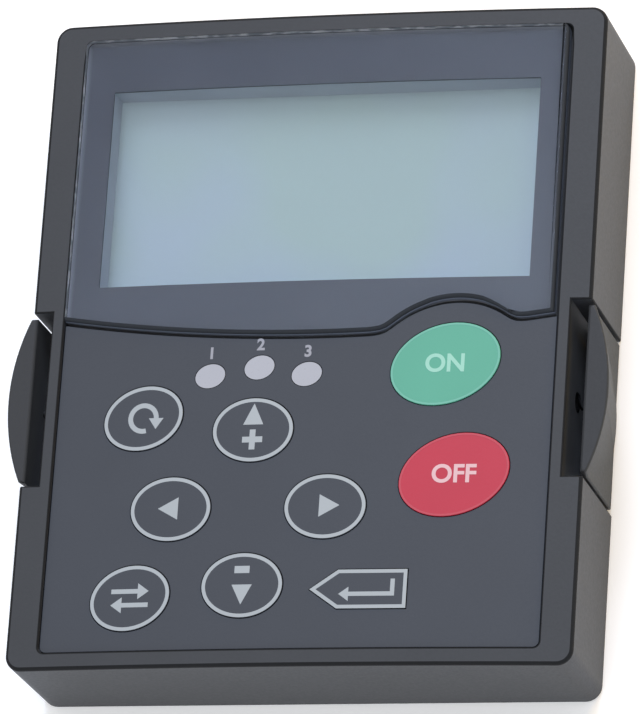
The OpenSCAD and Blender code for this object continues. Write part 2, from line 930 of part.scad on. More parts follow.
// D-shaped outline of the connector's nose, wider at its upper edge
module d_outline(grow) {
  w = conn_shell_w / 2 + grow;
  h = conn_shell_h / 2 + grow;
  r = conn_shell_r + grow;
  lean = (conn_shell_h - 2 * conn_shell_r) * tan(conn_shell_slant);
  corners = [[w - r, h - r], [w - r - lean, r - h], [r + lean - w, r - h], [r - w, h - r]];
  translate([0, conn_y]) {
    polygon(corners);
    for (i = [0 : 3]) {
      a = corners[i];
      b = corners[(i + 1) % 4];
      side = [a[1] - b[1], b[0] - a[0]] / norm(b - a) * r;
      polygon([a, b, b + side, a + side]);
      translate(a)
        circle(r);
    }
  }
}

module connector_shell() {
  color(steel) {
    difference() {
      slab(conn_flange[0], conn_flange[1], conn_flange_z, conn_flange_z + conn_flange[2], [0, conn_y]);
      translate([0, 0, conn_flange_z - CUT])
        linear_extrude(conn_flange[2] + 2 * CUT)
          d_outline(-conn_shell_t);
      for (side = [-1, 1])
        translate([side * conn_rivet_x, conn_y, 0])
          cylinder(d = conn_rivet_d + conn_rivet_fit, h = body_d);
    }
    translate([0, 0, conn_lip])
      linear_extrude(conn_flange_z - conn_lip + conn_flange[2] / 2)
        difference() {
          d_outline(0);
          d_outline(-conn_shell_t);
        }
  }
}

module connector_insulator() {
  color(dark_plastic)
    difference() {
      union() {
        translate([0, 0, conn_lip + conn_nose_drop])
          linear_extrude(board_z - conn_lip - conn_nose_drop)
            d_outline(-conn_shell_t);
        slab(conn_block[0], conn_block[1], conn_flange_z + conn_flange[2], board_z, [0, conn_y]);
      }
      for (p = contacts_at)
        translate([p[0], p[1], -CUT])
          cylinder(d = conn_hole_d, h = body_d);
      for (side = [-1, 1])
        translate([side * conn_rivet_x, conn_y, 0])
          cylinder(d = conn_rivet_d + conn_rivet_fit, h = body_d);
    }
}

module connector_contacts() {
  contact_z = conn_lip + conn_nose_drop + conn_contact_drop;
  color(gold)
    for (p = contacts_at)
      translate([p[0], p[1], 0])
        difference() {
          union() {
            translate([0, 0, contact_z])
              cylinder(d = conn_hole_d, h = board_z - contact_z);
            cylinder(d = conn_tail_d, h = board_top);
          }
          translate([0, 0, -CUT])
            cylinder(d = conn_contact_d, h = board_z);
        }
}

module connector_rivets() {
  color(steel)
    for (side = [-1, 1])
      translate([side * conn_rivet_x, conn_y, conn_flange_z - conn_rivet_head_h]) {
        cylinder(r = conn_rivet_head_r, h = conn_rivet_head_h);
        cylinder(d = conn_rivet_d, h = board_top - conn_flange_z + conn_rivet_head_h);
      }
}

// Lever of the right side: blade, thumb bulge, pivot hub, heels that stop it, and rear hook
module latch_lever() {
  difference() {
    union() {
      slab(blade_t, latch_l, latch_low, latch_top, [blade_x + blade_t / 2, latch_y]);
      intersection() {
        slab(latch_bulge + CUT, latch_l, latch_low, latch_top,
          [blade_x + (latch_bulge + CUT) / 2, latch_y]);
        translate([body_w / 2 - bulge_r, latch_y, 0])
          rotate([0, bulge_tilt, 0])
            cylinder(r = bulge_r * cos(bulge_tilt), h = 3 * body_d, center = true, $fn = BULGE_FN);
      }
      slab(body_w / 2 - root_x, latch_l, latch_low, root_top, [(body_w / 2 + root_x) / 2, latch_y]);
      translate([pin_x, latch_y, pin_z])
        rotate([90, 0, 0])
          cylinder(r = hub_r, h = latch_l, center = true);
      for (side = [-1, 1])
        slab(root_x - bay_x - heel_gap + CUT / 2, heel_l, heel_z[0], heel_z[1],
          [(root_x + bay_x + heel_gap + CUT / 2) / 2, latch_y + side * (latch_l - heel_l) / 2]);
      translate([0, latch_y + hook_l / 2, 0])
        rotate([90, 0, 0])
          linear_extrude(hook_l)
            polygon([[root_x + CUT / 2, latch_low], [root_x, latch_low],
              [root_x - hook_reach, latch_low + hook_h / 2], [root_x - hook_reach, latch_low + hook_h],
              [root_x + CUT / 2, latch_low + hook_h]]);
      translate([blade_x - spring_peg_l, latch_y, spring_z])
        rotate([0, 90, 0])
          cylinder(d = spring_peg_d, h = spring_peg_l + blade_t / 2);
    }
    translate([pin_x, latch_y, pin_z])
      rotate([90, 0, 0])
        cylinder(r = pin_d / 2 + pin_clear, h = latch_l + 2 * CUT, center = true);
  }
}

module latch_right() {
  color(housing_grey)
    latch_lever();
}

module latch_left() {
  color(housing_grey)
    mirror([1, 0, 0])
      latch_lever();
}

module latch_pin(side) {
  color(steel)
    translate([side * pin_x, latch_y, pin_z])
      rotate([90, 0, 0])
        cylinder(d = pin_d, h = bay_y1 - bay_y0 + 2 * (pin_hold - seat_gap), center = true);
}

module latch_pin_left() {
  latch_pin(-1);
}

module latch_pin_right() {
  latch_pin(1);
}

// Compression spring along X as one tube of rings that turn with the helix
spring_sides = 6;
curl_rings = 8;
spring_rings = curl_rings * spring_curls;
spring_r = (spring_d - spring_wire) / 2;
spring_pitch = (spring_l - spring_wire) / spring_curls;
spring_lead = spring_pitch / (2 * PI * spring_r);
function coil_turn(i) = 360 * i / curl_rings;
function coil_out(i) = [0, cos(coil_turn(i)), sin(coil_turn(i))];
function coil_ahead(i) = [spring_lead, -sin(coil_turn(i)), cos(coil_turn(i))] / norm([spring_lead, 1]);
function coil_point(i) =
  [spring_x0 + spring_wire / 2 + spring_pitch * i / curl_rings, latch_y, spring_z] + spring_r * coil_out(i);
function coil_ring(i) =
  let (up = cross(coil_ahead(i), coil_out(i)))
  [for (k = [0 : spring_sides - 1]) let (s = 360 * k / spring_sides)
    coil_point(i) + spring_wire / 2 * (cos(s) * coil_out(i) + sin(s) * up)];
coil_points = [for (i = [0 : spring_rings]) each coil_ring(i)];
coil_faces = concat(
  [for (i = [0 : spring_rings - 1], k = [0 : spring_sides - 1], half = [0, 1])
    let (a = i * spring_sides + k, b = i * spring_sides + (k + 1) % spring_sides)
    half == 0 ? [a, a + spring_sides, b] : [b, a + spring_sides, b + spring_sides]],
  [for (k = [1 : spring_sides - 2]) [0, k, k + 1]],
  [for (k = [1 : spring_sides - 2]) let (e = spring_rings * spring_sides) [e, e + k + 1, e + k]]);

// Least gap between points of the coil that are at least half a curl apart
half_curl = curl_rings / 2;
coil_gap = min([for (i = [0 : spring_rings - half_curl], j = [i + half_curl : spring_rings])
  norm(coil_point(i) - coil_point(j))]) - spring_wire;
echo(least_spring_gap = coil_gap);

module coil() {
  polyhedron(coil_points, coil_faces);
}

module latch_spring_right() {
  color(steel)
    coil();
}

module latch_spring_left() {
  color(steel)
    mirror([1, 0, 0])
      coil();
}

front_housing();
rear_cover();
cover_screws();
keypad_overlay();
display_lens();
lens_mask();
display_gasket();
lcd_glass();
lcd_polariser();
lcd_frame();
backlight_plate();
backlight_lamps();
lcd_contact_strips();
circuit_board();
board_screws();
controller_chip();
memory_chip();
line_driver_chip();
voltage_regulator();
crystal_can();
storage_capacitors();
chip_resistors();
contact_pads();
status_lamps();
light_guide();
key_mat();
contact_pills();
key_reset();
key_local_remote();
key_up();
key_down();
key_left();
key_right();
key_start();
key_stop();
key_enter();
connector_shell();
connector_insulator();
connector_contacts();
connector_rivets();
latch_left();
latch_right();
latch_pin_left();
latch_pin_right();
latch_spring_left();
latch_spring_right();
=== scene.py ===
# Operator keypad of a variable frequency drive, lying on its back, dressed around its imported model.
# Metres; Z = 0 is the rear face, +Z leaves the crowned front, +Y is the display end.
import json
import math

import bmesh
import bpy
from mathutils import Matrix, Vector

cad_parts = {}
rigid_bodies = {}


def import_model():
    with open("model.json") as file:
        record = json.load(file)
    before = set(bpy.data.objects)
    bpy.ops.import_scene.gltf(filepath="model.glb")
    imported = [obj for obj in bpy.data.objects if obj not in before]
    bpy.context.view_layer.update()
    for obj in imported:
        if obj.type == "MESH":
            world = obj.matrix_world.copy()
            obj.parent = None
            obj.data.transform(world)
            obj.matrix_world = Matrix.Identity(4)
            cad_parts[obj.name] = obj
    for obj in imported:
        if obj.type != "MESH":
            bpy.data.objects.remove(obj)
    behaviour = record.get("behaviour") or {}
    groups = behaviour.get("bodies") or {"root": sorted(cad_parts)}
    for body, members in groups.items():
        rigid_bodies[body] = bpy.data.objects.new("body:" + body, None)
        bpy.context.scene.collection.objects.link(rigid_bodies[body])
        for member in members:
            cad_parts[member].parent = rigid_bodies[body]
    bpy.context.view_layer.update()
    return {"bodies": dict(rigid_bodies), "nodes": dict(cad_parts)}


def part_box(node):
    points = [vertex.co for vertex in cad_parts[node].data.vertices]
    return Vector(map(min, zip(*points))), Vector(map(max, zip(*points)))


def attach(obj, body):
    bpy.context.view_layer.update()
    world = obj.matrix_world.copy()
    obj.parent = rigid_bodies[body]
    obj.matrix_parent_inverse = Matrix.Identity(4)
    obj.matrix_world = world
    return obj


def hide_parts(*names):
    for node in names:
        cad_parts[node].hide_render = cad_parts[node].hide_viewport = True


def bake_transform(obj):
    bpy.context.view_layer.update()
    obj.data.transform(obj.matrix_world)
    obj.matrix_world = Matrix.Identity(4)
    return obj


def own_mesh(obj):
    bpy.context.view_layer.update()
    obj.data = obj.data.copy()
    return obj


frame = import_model()
scene = bpy.context.scene

# Camera: the photograph's viewpoint, high over the keys' end and off to the right, through a long lens.
# The turn is an axis times its angle, fitted to the keypad's outline in the photograph.
MM = 0.001
SENSOR = 36
IMAGE_HEIGHT = 714
FOCAL_PIXELS = 6450
VIEWPOINT = Vector((257.4, -307.0, 886.3)) * MM
TURN = Vector((-0.3317, -0.2726, -0.0214))
camera = bpy.data.objects.new("camera", bpy.data.cameras.new("camera"))
camera.data.sensor_width = SENSOR
camera.data.lens = FOCAL_PIXELS * SENSOR / IMAGE_HEIGHT
facing = Matrix.Rotation(TURN.length, 4, TURN.normalized()).transposed()
camera.matrix_world = Matrix.Translation(VIEWPOINT) @ facing
scene.collection.objects.link(camera)
scene.camera = camera

# Studio: white paper on a light table, a white room, a cool box overhead, a small warm one low on the
# right and a faint one in front, which light the right and lower walls as in the photograph.
FLOOR_HALF = 4.0
FLOOR_SQUARES = 8
FLOOR_WHITE = "#fefefe"
FLOOR_GLOW = 0.12
TOOTH_WIDTH = 6 * MM
TOOTH_DEPTH = 0.02 * MM
ROOM_WHITE = "#eeeeee"
ROOM_STRENGTH = 1.0
SOFT_BOXES = (
    # name, place, side, watts, colour, whether it shows in gloss and through glass
    ("overhead_box", (0.0, 1.6, 1.7), 1.1, 38, "#dbe7ff", True),
    ("side_box", (0.27, 0.38, 0.08), 0.14, 2.0, "#ffc838", False),
    ("front_box", (0.2, -1.3, 0.35), 0.8, 6.4, "#e6eeff", False),
)


def linear(hex_colour):
    """An sRGB hex colour as the linear RGBA that shaders and lamps take."""
    parts = [int(hex_colour[i:i + 2], 16) / 255 for i in (1, 3, 5)]
    return [c / 12.92 if c <= 0.04045 else ((c + 0.055) / 1.055) ** 2.4 for c in parts] + [1.0]


def add_node(tree, kind, inputs=None, **settings):
    """A shader node with its settings; each input is a constant or another node's output."""
    node = tree.nodes.new(kind)
    for name, value in settings.items():
        setattr(node, name, value)
    for name, value in (inputs or {}).items():
        if isinstance(value, bpy.types.NodeSocket):
            tree.links.new(value, node.inputs[name])
        else:
            node.inputs[name].default_value = value
    return node


def new_material(name, **values):
    """A Principled material: returns it, its tree, its shader and its Object coordinates."""
    material = bpy.data.materials.new(name)
    material.use_nodes = True
    tree = material.node_tree
    shader = tree.nodes["Principled BSDF"]
    for socket, value in values.items():
        shader.inputs[socket.replace("_", " ")].default_value = value
    place = add_node(tree, "ShaderNodeTexCoord").outputs["Object"]
    return material, tree, shader, place


def white_paper():
    """Seamless background paper: matt, with a faint tooth 6 mm wide and the table's glow through it."""
    material, tree, shader, place = new_material("white_paper", Roughness=0.9)
    shader.inputs["Base Color"].default_value = linear(FLOOR_WHITE)
    shader.inputs["Emission Color"].default_value = linear(FLOOR_WHITE)
    shader.inputs["Emission Strength"].default_value = FLOOR_GLOW
    tooth = add_node(tree, "ShaderNodeTexNoise", {"Vector": place, "Scale": 1 / TOOTH_WIDTH})
    bump = add_node(tree, "ShaderNodeBump", {"Height": tooth.outputs["Fac"], "Distance": TOOTH_DEPTH})
    tree.links.new(bump.outputs["Normal"], shader.inputs["Normal"])
    return material


def add_object(name, mesh, *materials):
    """A mesh as an object at the origin, with its materials."""
    for material in materials:
        mesh.materials.append(material)
    piece = bpy.data.objects.new(name, mesh)
    scene.collection.objects.link(piece)
    return piece


sheet = bmesh.new()
bmesh.ops.create_grid(sheet, x_segments=FLOOR_SQUARES, y_segments=FLOOR_SQUARES, size=FLOOR_HALF)
paper = bpy.data.meshes.new("paper_floor")
sheet.to_mesh(paper)
sheet.free()
add_object("paper_floor", paper, white_paper())

scene.world = bpy.data.worlds.new("room")
scene.world.use_nodes = True
sky = scene.world.node_tree.nodes["Background"]
sky.inputs["Color"].default_value = linear(ROOM_WHITE)
sky.inputs["Strength"].default_value = ROOM_STRENGTH
for name, at, side, watts, colour, shows in SOFT_BOXES:
    lamp = bpy.data.lights.new(name, "AREA")
    lamp.size = side
    lamp.energy = watts
    lamp.color = linear(colour)[:3]
    box = bpy.data.objects.new(name, lamp)
    box.location = at
    box.rotation_euler = Vector(at).to_track_quat("Z", "Y").to_euler()
    box.visible_camera = False
    box.visible_glossy = shows
    box.visible_transmission = shows
    scene.collection.objects.link(box)
scene.view_settings.view_transform = "Standard"

# Front housing: one deep ABS moulding whose crowned bezel frames a pocket for the lens and overlay.
# Injection moulded with a spark-eroded grain; the tool rounds its edges, which are dull and dark with
# painted shade.
HOUSING_GREY = "#2b2d31"
EDGE_SHADE_GREY = "#17181a"
# The recess's pale blue-grey is painted light.
RECESS_PAINTED_LIGHT = "#bdc1c9"
# Painted light pales the bays' walls towards the rear; the mouths keep the housing's dark grey.
BAY_PAINTED_LIGHT_GREY = "#85878b"
BAY_MOUTH_GREY = "#2c2e31"
EDGE_SHADE, RECESS, BAY = 1, 2, 3  # the housing's finishes after its grain, which is 0
FRONT_ROUND = 0.5 * MM
REAR_ROUND = 0.4 * MM
RIM_ROUND = 0.22 * MM
RIM_FINE = 0.04 * MM
BAY_ROUND = 0.25 * MM
RIM_REACH = 1 * MM
SHARP = math.radians(30)
FLAT = math.radians(0.08)
MERGE = 0.02 * MM
WELD = 0.0005 * MM
SQUARE_ON = 0.9  # a normal's least share of the axis that its face looks along
UPRIGHT = 0.1  # the most that a wall's normal rises
MIX_FROM, MIX_TO, MIXED = 6, 7, 2  # the colour sockets of a Mix node
MOTTLE_WIDTH = 11 * MM
GLOSS_SPREAD = 0.08
PAINTED_LIGHT_FULL_AT = 11 * MM
PAINTED_LIGHT_GONE_AT = 19 * MM
STREAK_WIDTH = 2 * MM
STREAK_DEPTH = 0.01 * MM
lens_low, lens_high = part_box("display_lens")
overlay_low, overlay_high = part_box("keypad_overlay")
lever_low, lever_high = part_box("latch_right")
screen_low, screen_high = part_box("lcd_polariser")
shell_low, shell_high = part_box("front_housing")


def copy_mesh(node):
    """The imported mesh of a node, its loose triangles joined into whole flat faces."""
    bm = bmesh.new()
    bm.from_mesh(frame["nodes"][node].data)
    bmesh.ops.remove_doubles(bm, verts=bm.verts, dist=MERGE)
    bmesh.ops.dissolve_limit(bm, angle_limit=FLAT, verts=bm.verts, edges=bm.edges)
    return bm


def weigh_edges(bm, width_at):
    """Notes how far each outer corner is rounded, as a share of the front edge's rounding."""
    weight = bm.edges.layers.float.new("bevel_weight_edge")
    for edge in bm.edges:
        if edge.is_convex and edge.calc_face_angle() > SHARP:
            upper, lower = sorted((face.normal for face in edge.link_faces), key=lambda n: -n.z)
            middle = (edge.verts[0].co + edge.verts[1].co) / 2
            edge[weight] = width_at(middle, upper, lower) / FRONT_ROUND


def make_piece(name, node, slot, bm, *materials):
    """A mesh that stands for a node or a share of it, shaded smooth between its sharp edges."""
    mesh = bpy.data.meshes.new(name)
    bm.to_mesh(mesh)
    bm.free()
    mesh.shade_smooth()
    mesh.set_sharp_from_angle(angle=SHARP)
    piece = add_object(name, mesh, *materials)
    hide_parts(node)
    return piece


def stand_in(node, body, slot, bm, *materials, segments=3, edge_material=-1):
    """The piece that stands for a node: its noted edges rounded, evenly shaded, riding on its body."""
    piece = make_piece(node + "_shown", node, slot, bm, *materials)
    rounding = piece.modifiers.new("rounded_edges", "BEVEL")
    rounding.limit_method = "WEIGHT"
    rounding.width = FRONT_ROUND
    rounding.segments = segments
    rounding.use_clamp_overlap = False
    rounding.loop_slide = False
    rounding.material = edge_material
    seams = piece.modifiers.new("closed_seams", "WELD")
    seams.merge_threshold = WELD
    shading = piece.modifiers.new("even_shading", "WEIGHTED_NORMAL")
    shading.keep_sharp = True
    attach(piece, body)


def moulded(name, colour, rough, grain=0.45, depth=0.012, mottle=0.12, **values):
    """A moulded or printed polymer: an even colour with a slight mottle, and an eroded grain that breaks
    up its gloss. The grain's width and depth are in mm, drawn coarser than life so that they show."""
    material, tree, shader, place = new_material(name, **values)
    cloud = add_node(tree, "ShaderNodeTexNoise", {"Vector": place, "Scale": 1 / MOTTLE_WIDTH, "Detail": 4})
    base = linear(colour)
    darker, paler = ([c * (1 + sign * mottle) for c in base[:3]] + [1] for sign in (-1, 1))
    tint = add_node(tree, "ShaderNodeMix", {"Factor": cloud.outputs["Fac"], MIX_FROM: darker, MIX_TO: paler},
                    data_type="RGBA")
    tree.links.new(tint.outputs[MIXED], shader.inputs["Base Color"])
    pits = add_node(tree, "ShaderNodeTexNoise", {"Vector": place, "Scale": 1 / (grain * MM), "Detail": 2})
    gloss = add_node(tree, "ShaderNodeMapRange", {
        "Value": pits.outputs["Fac"], "To Min": rough - GLOSS_SPREAD, "To Max": rough + GLOSS_SPREAD})
    tree.links.new(gloss.outputs["Result"], shader.inputs["Roughness"])
    bump = add_node(tree, "ShaderNodeBump", {"Height": pits.outputs["Fac"], "Distance": depth * MM})
    tree.links.new(bump.outputs["Normal"], shader.inputs["Normal"])
    return material


def grimed_bay():
    """Bare ABS of the bays: the housing's own dark grey at the mouth, paling towards the rear with painted
    light where little light reaches, with streaks 2 mm wide."""
    material, tree, shader, place = new_material("abs_bay_wall", Roughness=0.6)
    height = add_node(tree, "ShaderNodeSeparateXYZ", {"Vector": place}).outputs["Z"]
    streaks = add_node(tree, "ShaderNodeTexNoise", {"Vector": place, "Scale": 1 / STREAK_WIDTH})
    mouth_share = add_node(tree, "ShaderNodeMapRange",
                     {"Value": height, "From Min": PAINTED_LIGHT_FULL_AT, "From Max": PAINTED_LIGHT_GONE_AT})
    tint = add_node(tree, "ShaderNodeMix", {"Factor": mouth_share.outputs["Result"], MIX_FROM: linear(BAY_PAINTED_LIGHT_GREY),
                                            MIX_TO: linear(BAY_MOUTH_GREY)}, data_type="RGBA")
    tree.links.new(tint.outputs[MIXED], shader.inputs["Base Color"])
    bump = add_node(tree, "ShaderNodeBump", {"Height": streaks.outputs["Fac"], "Distance": STREAK_DEPTH})
    tree.links.new(bump.outputs["Normal"], shader.inputs["Normal"])
    return material


def inside(point, low, high, reach):
    """True if a point lies over the rectangle between two corners, widened by reach."""
    return (low.x - reach < point.x < high.x + reach) and (low.y - reach < point.y < high.y + reach)


def beside_lever(point):
    """True along the sides' length where a latch lever sits."""
    return lever_low.y - RIM_REACH < point.y < lever_high.y + RIM_REACH


def housing_edge(middle, upper, lower):
    """Rounding of the housing's corners: wide round the front, finer round its pocket and its bays."""
    in_pocket = inside(middle, Vector((lens_low.x, overlay_low.y)), lens_high, RIM_REACH)
    if upper.z > SQUARE_ON and middle.z > lens_low.z and abs(lower.z) < UPRIGHT:
        if in_pocket:
            return RIM_FINE if middle.y > lens_high.y - RIM_REACH else RIM_ROUND
        return BAY_ROUND if beside_lever(middle) else FRONT_ROUND
    on_rim = middle.z < RIM_REACH and not inside(middle, shell_low, shell_high, -RIM_REACH)
    if lower.z < -SQUARE_ON and on_rim:
        return BAY_ROUND if beside_lever(middle) else REAR_ROUND
    on_wall = abs(abs(middle.x) - shell_high.x) < MERGE
    if on_wall and beside_lever(middle) and abs(upper.z) < UPRIGHT:
        return BAY_ROUND
    return 0


# The rounded edges are dark with painted shade and reflect less than the grain. The recess's pale blue-grey
# is painted light, standing for the display's light falling on it.
housing_abs = moulded("abs_dark_grey", HOUSING_GREY, rough=0.58)
edge_shade_abs = moulded("abs_edge_painted_shade", EDGE_SHADE_GREY, rough=0.7, depth=0.006, Specular_IOR_Level=0.2)
recess_painted_light_abs = moulded("abs_display_recess", RECESS_PAINTED_LIGHT, rough=0.6)
bay_abs = grimed_bay()
shell = copy_mesh("front_housing")
for face in shell.faces:
    middle = face.calc_center_median()
    over_screen = middle.z > screen_high.z and inside(middle, screen_low, screen_high, 0)
    if abs(face.normal.z) < UPRIGHT and over_screen:
        face.material_index = RECESS
    if lever_low.x - RIM_REACH < abs(middle.x) < lever_low.x and face.normal.x * middle.x > 0:
        face.material_index = BAY if beside_lever(middle) and abs(face.normal.x) > SQUARE_ON else 0
weigh_edges(shell, housing_edge)
stand_in("front_housing", "housing", "housing_abs", shell, housing_abs, edge_shade_abs, recess_painted_light_abs, bay_abs,
         segments=4, edge_material=EDGE_SHADE)

# Display lens and its mask: a clear acrylic plate that fills the upper pocket flush with the bezel,
# with a blue-grey border screen printed behind it. Sawn from sheet and bonded in; its lower right edges
# are inked, in a blue paled with painted light, and its upper left edges are frosted and pale with painted
# highlight.
LENS_TINT = "#f1f5fa"
COATING_GREY = "#595959"
# The inked edges' blue is paled with painted light against the groove's shade.
INKED_LIT_BLUE = "#7d8698"
# Painted shade darkens the lens's wide rounded corners towards the lower right.
LENS_EDGE_SHADE_BLUE = "#24282e"
# The frosted upper left edges are pale with painted highlight, flecked with painted glints.
FROST_HIGHLIGHT_GREY = "#a4a9b2"
GLINT_WHITE = "#f6f6f8"
MASK_BLUE = "#7c7e84"
MASK_SHADE = "#5d5f68"
MASK_PAINTED_LIGHT = "#adafb5"
INKED_LIT, SHADED_CORNER, FROSTED_HIGHLIGHT = 1, 2, 3  # the lens's finishes after its clear acrylic, which is 0
LOWER_RIGHT_ROUND = 0.55 * MM
ROUND_SPREAD = 0.5
LEAST_ROUND = 0.05
LENS_STRIP = 0.9 * MM
LENS_FILL = 0.08 * MM
LOWER_RIGHT = Vector((1, -1)).normalized()
WIPING_WIDTH = 3 * MM
WIPING_HAZE = 0.06
GLINT_LENGTH = 2 * MM
GLINT_RANGE = (0.45, 0.6)
# Painted shade on the border ink towards the upper left, and painted light along its upper and left edges.
SHADE_SLOPE = Vector((0.5, -1, 0))
INK_CLOUD = 11 * MM
INK_PATCHES = 0.3
EDGE_LIGHT_REACH = 1.05 * MM
EDGE_LIGHT_POWER = 2.0
BOND_GAP = 0.03 * MM


def dress(material, *nodes):
    """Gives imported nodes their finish."""
    for node in nodes:
        for slot in frame["nodes"][node].material_slots:
            slot.material = material


def clear_acrylic():
    """Cast acrylic: water clear, with a coating that dims its reflections so that the display can be
    read under a lamp, and fine wiping marks 3 mm apart."""
    material, tree, shader, place = new_material("clear_acrylic", Transmission_Weight=1.0, IOR=1.49)
    shader.inputs["Base Color"].default_value = linear(LENS_TINT)
    shader.inputs["Specular Tint"].default_value = linear(COATING_GREY)
    wiping = add_node(tree, "ShaderNodeTexNoise", {"Vector": place, "Scale": 1 / WIPING_WIDTH, "Detail": 5})
    gloss = add_node(tree, "ShaderNodeMapRange",
                     {"Value": wiping.outputs["Fac"], "To Min": 0.0, "To Max": WIPING_HAZE})
    tree.links.new(gloss.outputs["Result"], shader.inputs["Roughness"])
    return material


def frosted_edge():
    """Sawn edge of the acrylic, left frosted: it scatters the light in the lens. Its pale grey is partly
    painted highlight, and paler flecks 2 mm long are painted glints."""
    material, tree, shader, place = new_material("frosted_cut_edge_highlight", Roughness=0.8)
    glints = add_node(tree, "ShaderNodeTexNoise", {"Vector": place, "Scale": 1 / GLINT_LENGTH, "Detail": 2})
    flecks = add_node(tree, "ShaderNodeMapRange", {
        "Value": glints.outputs["Fac"], "From Min": GLINT_RANGE[0], "From Max": GLINT_RANGE[1]})
    tint = add_node(tree, "ShaderNodeMix", {"Factor": flecks.outputs["Result"], MIX_FROM: linear(FROST_HIGHLIGHT_GREY),
                                            MIX_TO: linear(GLINT_WHITE)}, data_type="RGBA")
    tree.links.new(tint.outputs[MIXED], shader.inputs["Base Color"])
    return material


def lens_edge(middle, upper, lower):
    """Rounding of the lens's face: wide towards the lower right, where it carries painted shade, and crisp
    towards the upper left.
    """
    share = min(1, lower.xy.normalized().dot(LOWER_RIGHT) + ROUND_SPREAD)
    return LOWER_RIGHT_ROUND * share if upper.z > SQUARE_ON and share > LEAST_ROUND else 0


plate = copy_mesh("display_lens")
slivers = [edge for edge in plate.edges if all(face.normal.z > SQUARE_ON for face in edge.link_faces)
           and min(vert.co.x for vert in edge.verts) > lens_high.x - LENS_STRIP]
bmesh.ops.dissolve_edges(plate, edges=slivers)
bmesh.ops.remove_doubles(plate, verts=plate.verts, dist=LENS_FILL)
for face in plate.faces:
    if abs(face.normal.z) < UPRIGHT:
        face.material_index = INKED_LIT if face.normal.xy.normalized().dot(LOWER_RIGHT) > 0 else FROSTED_HIGHLIGHT
for vert in plate.verts:
    if any(face.normal.z < -SQUARE_ON for face in vert.link_faces):
        vert.co.z += BOND_GAP
    if vert.co.x < 0:
        vert.co.x -= LENS_FILL
    if vert.co.y > overlay_high.y:
        vert.co.y += LENS_FILL
weigh_edges(plate, lens_edge)
# The inked edges are matt and a mid blue paled with painted light, and their rounded lower right corners are
# dark with painted shade.
stand_in("display_lens", "housing", "lens_clear", plate, clear_acrylic(),
         moulded("inked_cut_edge_painted_light", INKED_LIT_BLUE, rough=0.6, depth=0.004),
         moulded("cut_edge_painted_shade", LENS_EDGE_SHADE_BLUE, rough=0.6, depth=0.004, Specular_IOR_Level=0.3),
         frosted_edge(), segments=4, edge_material=SHADED_CORNER)


def border_ink():
    """Blue-grey screen ink behind the lens, with clouds 11 mm wide. Painted shade darkens it a little
    towards the upper left, and painted light pales it to a line along the upper and left edges, where the
    lens's walls shade it."""
    material, tree, shader, place = new_material("screen_ink_blue_grey", Roughness=0.45)
    along = add_node(tree, "ShaderNodeVectorMath", {0: place, 1: SHADE_SLOPE}, operation="DOT_PRODUCT")
    cloud = add_node(tree, "ShaderNodeTexNoise", {"Vector": place, "Scale": 1 / INK_CLOUD, "Detail": 3})
    painted_shade = add_node(tree, "ShaderNodeMapRange", {
        "Value": along.outputs["Value"],
        "From Min": SHADE_SLOPE.dot(Vector((lens_high.x, screen_low.y, 0))),
        "From Max": SHADE_SLOPE.dot(Vector((lens_low.x, lens_high.y, 0)))})
    patchy = add_node(tree, "ShaderNodeMath",
                      {0: cloud.outputs["Fac"], 1: INK_PATCHES, 2: painted_shade.outputs["Result"]},
                      operation="MULTIPLY_ADD")
    tint = add_node(tree, "ShaderNodeMix", {"Factor": patchy.outputs["Value"], MIX_FROM: linear(MASK_BLUE),
                                            MIX_TO: linear(MASK_SHADE)}, data_type="RGBA")
    axes = add_node(tree, "ShaderNodeSeparateXYZ", {"Vector": place})
    inward = add_node(tree, "ShaderNodeMath", {0: axes.outputs["X"], 1: lens_low.x}, operation="SUBTRACT")
    downward = add_node(tree, "ShaderNodeMath", {0: lens_high.y, 1: axes.outputs["Y"]},
                        operation="SUBTRACT")
    nearest = add_node(tree, "ShaderNodeMath", {0: inward.outputs["Value"], 1: downward.outputs["Value"]},
                       operation="MINIMUM")
    fade = add_node(tree, "ShaderNodeMapRange", {"Value": nearest.outputs["Value"], "From Min": 0.0,
                                                 "From Max": EDGE_LIGHT_REACH, "To Min": 1.0, "To Max": 0.0})
    pale = add_node(tree, "ShaderNodeMath", {0: fade.outputs["Result"], 1: EDGE_LIGHT_POWER}, operation="POWER")
    line = add_node(tree, "ShaderNodeMix", {"Factor": pale.outputs["Value"], MIX_FROM: tint.outputs[MIXED],
                                            MIX_TO: linear(MASK_PAINTED_LIGHT)}, data_type="RGBA")
    tree.links.new(line.outputs[MIXED], shader.inputs["Base Color"])
    return material


dress(border_ink(), "lens_mask")

# Overlay: a thick polyester film, printed dark blue-grey from behind, with a velvet grain in front.
# Die cut with an arched upper edge and holes for the keys and lamps, and stuck in its pocket.
OVERLAY_BLUE = "#30343c"
FILM_ROUND = 0.08 * MM


def film_edge(middle, upper, lower):
    """A cut edge of the film, broken a little at its face."""
    return FILM_ROUND if upper.z > SQUARE_ON else 0


film = moulded("polyester_velvet_film", OVERLAY_BLUE, rough=0.56, grain=0.35, depth=0.008, mottle=0.08)
sheet = copy_mesh("keypad_overlay")
weigh_edges(sheet, film_edge)
stand_in("keypad_overlay", "housing", "overlay_film", sheet, film, segments=2)

